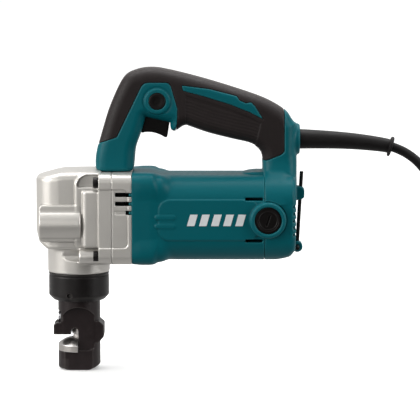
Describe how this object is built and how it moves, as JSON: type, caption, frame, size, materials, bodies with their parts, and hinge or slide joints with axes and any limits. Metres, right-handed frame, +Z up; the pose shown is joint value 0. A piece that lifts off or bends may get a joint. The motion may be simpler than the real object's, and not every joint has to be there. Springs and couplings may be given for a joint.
{
  "type": "corded sheet metal nibbler",
  "caption": "Hand-held corded nibbler for sheet steel: cast head with punch and die, cylindrical motor casing, D-shaped handle with trigger, rear power cord.",
  "frame": {"origin": "on the punch axis, in the plane of the die holder's foot, at the mouth of the slug hole", "axes": "+X runs from the head to the power cord, +Z is up along the punch, -Y is the side with the lock-on button"},
  "size_m": [0.327, 0.0824, 0.2458],
  "materials": {
    "cast_alloy": "satin cast",
    "teal_shell": "fine moulded texture",
    "soft_grip": "matt soft overmould",
    "black_plastic": "satin",
    "black_rubber": "matt",
    "black_steel": "black oxide",
    "tool_steel": "ground",
    "gear_steel": "machined, oiled",
    "bearing_steel": "polished",
    "bronze": "sintered",
    "brass": "stamped",
    "copper": "varnished wire",
    "laminations": "stacked sheet",
    "carbon": "sintered carbon",
    "white_print": "satin print"
  },
  "bodies": {
    "tool": {"head_casting": "cast_alloy", "bearing_plate": "cast_alloy", "motor_housing": "teal_shell", "handle_left": "teal_shell", "handle_right": "teal_shell", "grip_left": "soft_grip", "grip_right": "soft_grip", "badge_left": "white_print", "badge_right": "white_print", "piston_sleeve": "bronze", "crank_bearings": "bearing_steel", "layshaft_bearings": "bearing_steel", "motor_bearings": "bearing_steel", "stator_core": "laminations", "field_coils": "copper", "baffle_ring": "black_plastic", "brush_holders": "brass", "switch_body": "black_plastic", "power_cord": "black_rubber", "cord_guard": "black_rubber", "cord_clamp": "black_plastic", "clamp_screws": "tool_steel", "head_screws": "black_steel", "handle_screws": "tool_steel", "foot_screw": "tool_steel"},
    "armature": {"armature_shaft": "gear_steel", "armature_core": "laminations", "armature_windings": "copper", "commutator": "copper", "fan": "black_plastic"},
    "layshaft": {"layshaft": "gear_steel", "layshaft_gear": "gear_steel"},
    "crank": {"crank_shaft": "gear_steel", "crank_gear": "gear_steel", "eccentric_bearing": "bearing_steel"},
    "piston": {"piston": "gear_steel"},
    "cutting_end": {"die_holder": "black_steel", "die": "tool_steel", "die_screws": "black_steel"},
    "punch_set": {"punch": "tool_steel", "punch_holder": "gear_steel", "punch_screw": "black_steel"},
    "washer": {"thrust_washer": "tool_steel"},
    "nut": {"lock_nut": "black_steel"},
    "trigger": {"trigger": "black_plastic"},
    "lock": {"lock_button": "black_plastic"},
    "key": {"hex_key": "black_steel"},
    "brush_l": {"brush_left": "carbon"},
    "brush_r": {"brush_right": "carbon"},
    "spring_l": {"brush_spring_left": "bearing_steel"},
    "spring_r": {"brush_spring_right": "bearing_steel"},
    "cap_l": {"brush_cap_left": "black_plastic"},
    "cap_r": {"brush_cap_right": "black_plastic"}
  },
  "joints": [
    {"name": "motor_spin", "type": "hinge", "parent": "tool", "child": "armature", "pos_m": [0.1, 0, 0.1255], "axis": [1, 0, 0], "continuous": true},
    {"name": "layshaft_spin", "type": "hinge", "parent": "tool", "child": "layshaft", "pos_m": [0.025, 0, 0.144], "axis": [1, 0, 0], "continuous": true},
    {"name": "crank_spin", "type": "hinge", "parent": "tool", "child": "crank", "pos_m": [0, 0, 0.1215], "axis": [1, 0, 0], "continuous": true},
    {"name": "piston_stroke", "type": "slide", "parent": "tool", "child": "piston", "axis": [0, 0, 1], "range_m": [-0.007, 0]},
    {"name": "die_turn", "type": "hinge", "parent": "tool", "child": "cutting_end", "pos_m": [0, 0, 0.03], "axis": [0, 0, 1], "continuous": true},
    {"name": "punch_stroke", "type": "slide", "parent": "cutting_end", "child": "punch_set", "axis": [0, 0, 1], "range_m": [-0.007, 0]},
    {"name": "nut_drop", "type": "slide", "parent": "tool", "child": "washer", "axis": [0, 0, 1], "range_m": [-0.0025, 0]},
    {"name": "nut_turn", "type": "hinge", "parent": "washer", "child": "nut", "pos_m": [0, 0, 0.065], "axis": [0, 0, 1], "range_deg": [-600, 0]},
    {"name": "trigger_pull", "type": "slide", "parent": "tool", "child": "trigger", "axis": [0.2147, 0, 0.9767], "range_m": [0, 0.006], "stiffness_N_per_m": 800, "springref_m": -0.001},
    {"name": "lock_press", "type": "slide", "parent": "tool", "child": "lock", "axis": [0, 1, 0], "range_m": [0, 0.0025], "stiffness_N_per_m": 600, "springref_m": -0.001},
    {"name": "key_swing", "type": "hinge", "parent": "tool", "child": "key", "pos_m": [0.177, 0, 0.1], "axis": [0, 1, 0], "range_deg": [0, 90]},
    {"name": "brush_left_lift", "type": "slide", "parent": "tool", "child": "brush_l", "axis": [0, -1, 0], "range_m": [0, 0.005], "deforming": ["brush_spring_left"]},
    {"name": "brush_right_lift", "type": "slide", "parent": "tool", "child": "brush_r", "axis": [0, 1, 0], "range_m": [0, 0.005], "deforming": ["brush_spring_right"]},
    {"name": "cap_left_back", "type": "slide", "parent": "tool", "child": "spring_l", "axis": [0, -1, 0], "range_m": [0, 0.003]},
    {"name": "cap_left_turn", "type": "hinge", "parent": "spring_l", "child": "cap_l", "pos_m": [0.1527, -0.037, 0.1255], "axis": [0, -1, 0], "range_deg": [-1080, 0]},
    {"name": "cap_right_back", "type": "slide", "parent": "tool", "child": "spring_r", "axis": [0, 1, 0], "range_m": [0, 0.003]},
    {"name": "cap_right_turn", "type": "hinge", "parent": "spring_r", "child": "cap_r", "pos_m": [0.1527, 0.037, 0.1255], "axis": [0, 1, 0], "range_deg": [-1080, 0]}
  ],
  "couplings": [
    {"joint": "layshaft_spin", "follows": "motor_spin", "ratio": -0.27586},
    {"joint": "crank_spin", "follows": "motor_spin", "ratio": 0.078818},
    {"joint": "punch_stroke", "follows": "piston_stroke", "ratio": 1},
    {"joint": "nut_drop", "follows": "nut_turn", "m_per_rad": 0.00023873},
    {"joint": "cap_left_back", "follows": "cap_left_turn", "m_per_rad": -0.00015915},
    {"joint": "cap_right_back", "follows": "cap_right_turn", "m_per_rad": -0.00015915}
  ]
}
